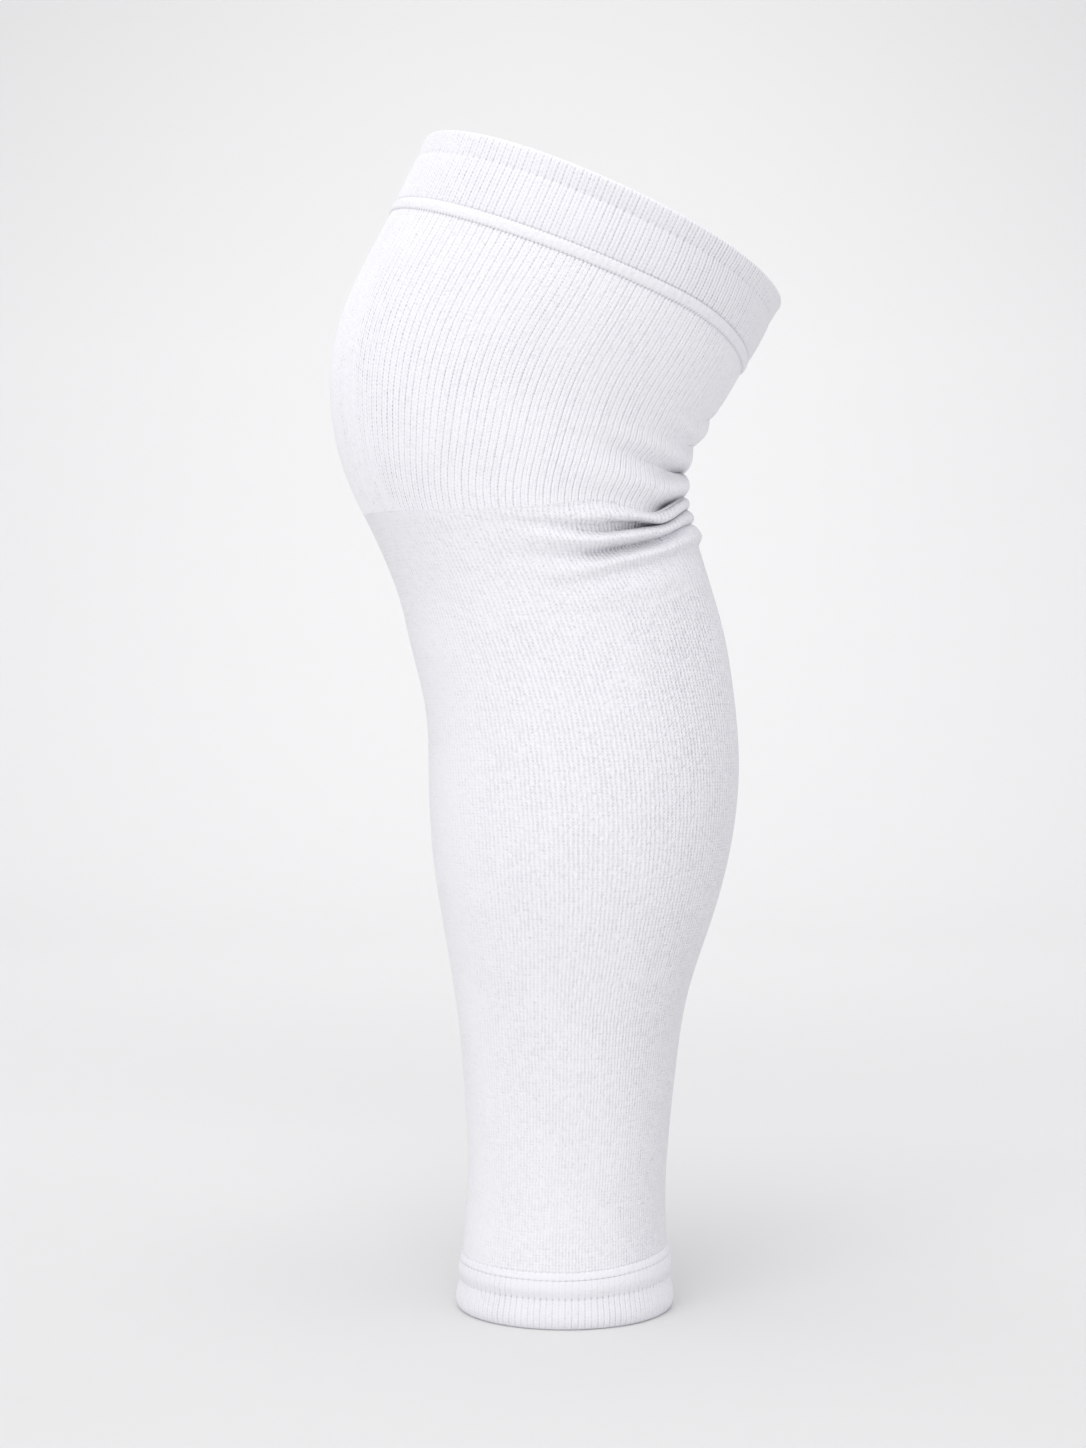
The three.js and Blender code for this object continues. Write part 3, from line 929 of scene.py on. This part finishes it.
def knitMaterial(name, white, walesPerRib, line, fineLine, loops, bump):
    material = bpy.data.materials.new(name)
    material.use_nodes = True
    tree = material.node_tree
    shader = tree.nodes["Principled BSDF"]
    uv = tree.nodes.new("ShaderNodeUVMap")
    uv.uv_map = "knitUv"
    knit = tree.nodes.new("ShaderNodeGroup")
    knit.node_tree = knitLoops
    tree.links.new(uv.outputs["UV"], knit.inputs["Knit UV"])
    settings = {"Wales Per Rib": walesPerRib, "Line": line, "Fine Line": fineLine, "Loops": loops}
    for key, value in settings.items():
        knit.inputs[key].default_value = value
    # painted shade: the dotted groove lines and the low parts of the loops are painted darker where shade
    # falls in them, the needle holes (pit) and the creases and front above and below the knee (deep) darker
    # still; the mottle added in is tone that differs at random
    lines = mathNode(tree, "MULTIPLY", knit.outputs["Line Mask"], attributeNode(tree, "show"))
    loopHeight = mathNode(tree, "MULTIPLY", knit.outputs["Loop Height"], attributeNode(tree, "loops"))
    lineShade = mathNode(tree, "MULTIPLY", lines, knitWhite["lineShade"])
    loopShade = mathNode(tree, "MULTIPLY", loopHeight, knitWhite["loopShade"])
    pits = mathNode(tree, "MULTIPLY", attributeNode(tree, "pit"), knitWhite["pitShade"])
    depths = mathNode(tree, "MULTIPLY", attributeNode(tree, "deep"), knitWhite["deepShade"])
    mottled = mathNode(tree, "MULTIPLY", knit.outputs["Mottle"], knitWhite["mottle"])
    shade = mathNode(tree, "SUBTRACT", mottled, loopShade)
    shade = mathNode(tree, "ADD", lineShade, shade, clamp=True)
    tone = mixColor(tree, shade, knitWhite[white], knitWhite["shade"])
    tone = mixColor(tree, pits, tone, knitWhite["hole"])
    tone = mixColor(tree, depths, tone, knitWhite["deep"])
    tree.links.new(tone, shader.inputs["Base Color"])
    rough = mathNode(tree, "ADD", knitWhite["roughness"], mottled)
    tree.links.new(rough, shader.inputs["Roughness"])
    relief = tree.nodes.new("ShaderNodeBump")
    relief.inputs["Strength"].default_value = bump
    relief.inputs["Distance"].default_value = knitWhite["bumpHeight"] * mm
    tree.links.new(mathNode(tree, "SUBTRACT", loopHeight, lines), relief.inputs["Height"])
    tree.links.new(relief.outputs["Normal"], shader.inputs["Normal"])
    shader.inputs["Sheen Weight"].default_value = knitWhite["sheen"]
    shader.inputs["Specular IOR Level"].default_value = knitWhite["specular"]
    return material


ribWhite = knitMaterial(
    "whiteDropNeedleKnit", "ribbed", walesPerRib=4.0, line=1.1, fineLine=0.38, loops=0.5, bump=0.6)
foldWhite = knitMaterial(
    "whiteFoldKnit", "plain", walesPerRib=4 / 3, line=1.15, fineLine=0.4, loops=1.8, bump=0.65)
plainWhite = knitMaterial(
    "whitePlainKnit", "plain", walesPerRib=1.0, line=0.0, fineLine=0.0, loops=2.0, bump=0.65)
cuffWhite = knitMaterial(
    "whiteCuffRib", "banded", walesPerRib=4.0, line=0.9, fineLine=0.45, loops=0.4, bump=0.6)
bandWhite = knitMaterial(
    "whiteBandRib", "hemmed", walesPerRib=4.0, line=0.65, fineLine=0.2, loops=0.5, bump=0.5)
seamWhite = knitMaterial(
    "whiteSeamKnit", "banded", walesPerRib=4.0, line=0.2, fineLine=0.1, loops=0.5, bump=0.4)

for piece, material, slot, node in (
        (kneePiece, ribWhite, "tube_knit", "leg_tube"),
        (backPiece, foldWhite, "tube_knit", "leg_tube"),
        (calfPiece, plainWhite, "tube_knit", "leg_tube"),
        (cuffPiece, cuffWhite, "rib_knit", "thigh_cuff"),
        (bandPiece, bandWhite, "rib_knit", "ankle_band"),
        (thighSeamPiece, seamWhite, "seam_knit", "thigh_seam"),
        (ankleSeamPiece, seamWhite, "seam_knit", "ankle_seam")):
    piece.data.materials.append(material)
    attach(piece, "root")
    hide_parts(node)
print("materials set")

stage = {
    "tone": (0.845, 0.839, 0.836, 1),
    # painted shade: the floor is painted darker around the part and towards the front, and the sweep darker
    # higher up, standing in for how the lamps fall off
    "nearShadeTone": (0.762, 0.757, 0.754, 1),
    "near": (0.75, 2.0),  # share of the painted darker floor tone at the part, and its growth per metre towards the front
    "highShadeTone": (0.782, 0.777, 0.774, 1),
    "high": (0.8, 2.0),  # height where the painted darker sweep tone begins, and its growth per metre
    "mottle": 0.2,
    "mottleNoise": (3, 2),  # scale and detail
    "roughness": 0.95,
    "specular": 0.1,
    "segments": (8, 60),  # across and along
    "front": -2.0,
    "back": 1.6,
    "bend": 0.9,
    "tall": 3.0,
    "wide": 3.2,
}


def makeStage():
    bm = bmesh.new()
    across, along = stage["segments"]
    made = bmesh.ops.create_grid(bm, x_segments=across, y_segments=along, size=0.5)
    flat = stage["back"] - stage["front"]
    arc = stage["bend"] * math.pi / 2
    total = flat + arc + stage["tall"]
    for v in made["verts"]:
        s = (v.co.y + 0.5) * total
        x = v.co.x * 2 * stage["wide"]
        if s < flat:
            v.co = (x, stage["front"] + s, 0)
        elif s < flat + arc:
            turn = (s - flat) / stage["bend"]
            away, up = stage["bend"] * math.sin(turn), stage["bend"] * (1 - math.cos(turn))
            v.co = (x, stage["back"] + away, up)
        else:
            v.co = (x, stage["back"] + stage["bend"], stage["bend"] + s - flat - arc)
    for f in bm.faces:
        f.smooth = True
    mesh = bpy.data.meshes.new("studioSweep")
    bm.to_mesh(mesh)
    bm.free()
    sweep = addObject("studio_sweep", mesh)
    material = bpy.data.materials.new("paleSweep")
    material.use_nodes = True
    tree = material.node_tree
    shader = tree.nodes["Principled BSDF"]
    place = tree.nodes.new("ShaderNodeTexCoord").outputs["Object"]
    split = tree.nodes.new("ShaderNodeSeparateXYZ")
    tree.links.new(place, split.inputs[0])
    # painted shade on the sweep: darker towards the front and around the part, and higher up
    nearShare, nearGrowth = stage["near"]
    near = mathNode(tree, "SUBTRACT", nearShare, mathNode(tree, "MULTIPLY", split.outputs["Y"], nearGrowth))
    mottle = mathNode(tree, "MULTIPLY", noiseNode(tree, place, *stage["mottleNoise"]), stage["mottle"])
    near = mathNode(tree, "ADD", near, mottle, clamp=True)
    tone = mixColor(tree, near, stage["tone"], stage["nearShadeTone"])
    highStart, highGrowth = stage["high"]
    high = mathNode(tree, "SUBTRACT", split.outputs["Z"], highStart)
    high = mathNode(tree, "MULTIPLY", high, highGrowth, clamp=True)
    tree.links.new(mixColor(tree, high, tone, stage["highShadeTone"]), shader.inputs["Base Color"])
    shader.inputs["Roughness"].default_value = stage["roughness"]
    shader.inputs["Specular IOR Level"].default_value = stage["specular"]
    mesh.materials.append(material)


makeStage()

lights = {
    "air": {"tone": (0.965, 0.97, 1.0, 1), "strength": 0.74},
    "key": {
        "place": (-0.6, -2.0, 1.6), "aim": (0, 0, 0.25),
        "size": 3.0, "power": 26, "spread": 180, "tone": (1, 0.99, 0.97),
    },
    "back": {
        "place": (0.0, 1.3, 1.35), "aim": (0, 2.6, 0.35),
        "size": 1.4, "power": 3.9, "spread": 165, "tone": (1, 1, 1),
    },
    "top": {
        "place": (-0.05, -0.25, 2.2), "aim": (0, 0, 0.1),
        "size": 1.2, "power": 9.6, "spread": 180, "tone": (1, 1, 1),
    },
}


def addLight(name):
    given = lights[name]
    lamp = bpy.data.lights.new(name, "AREA")
    lamp.shape = "DISK"
    lamp.size = given["size"]
    lamp.energy = given["power"]
    lamp.spread = math.radians(given["spread"])
    lamp.color = given["tone"]
    thing = bpy.data.objects.new(name, lamp)
    thing.location = given["place"]
    aim = Vector(given["aim"]) - Vector(given["place"])
    thing.rotation_euler = aim.to_track_quat("-Z", "Y").to_euler()
    thing.visible_camera = False
    scene.collection.objects.link(thing)


for name in ("key", "back", "top"):
    addLight(name)
world = bpy.data.worlds.new("studioAir")
scene.world = world
world.use_nodes = True
air = world.node_tree.nodes["Background"]
air.inputs["Color"].default_value = lights["air"]["tone"]
air.inputs["Strength"].default_value = lights["air"]["strength"]

view = {"place": (-0.0084, -0.9, 0.2316), "lens": 56, "sensor": 36}
camera = bpy.data.objects.new("camera", bpy.data.cameras.new("camera"))
camera.location = view["place"]
camera.rotation_euler = (math.pi / 2, 0, 0)
camera.data.lens = view["lens"]
camera.data.sensor_width = view["sensor"]
camera.data.sensor_fit = "AUTO"
camera.data.dof.use_dof = False
scene.collection.objects.link(camera)
scene.camera = camera
scene.view_settings.view_transform = "Standard"
print("stage, light and camera set")
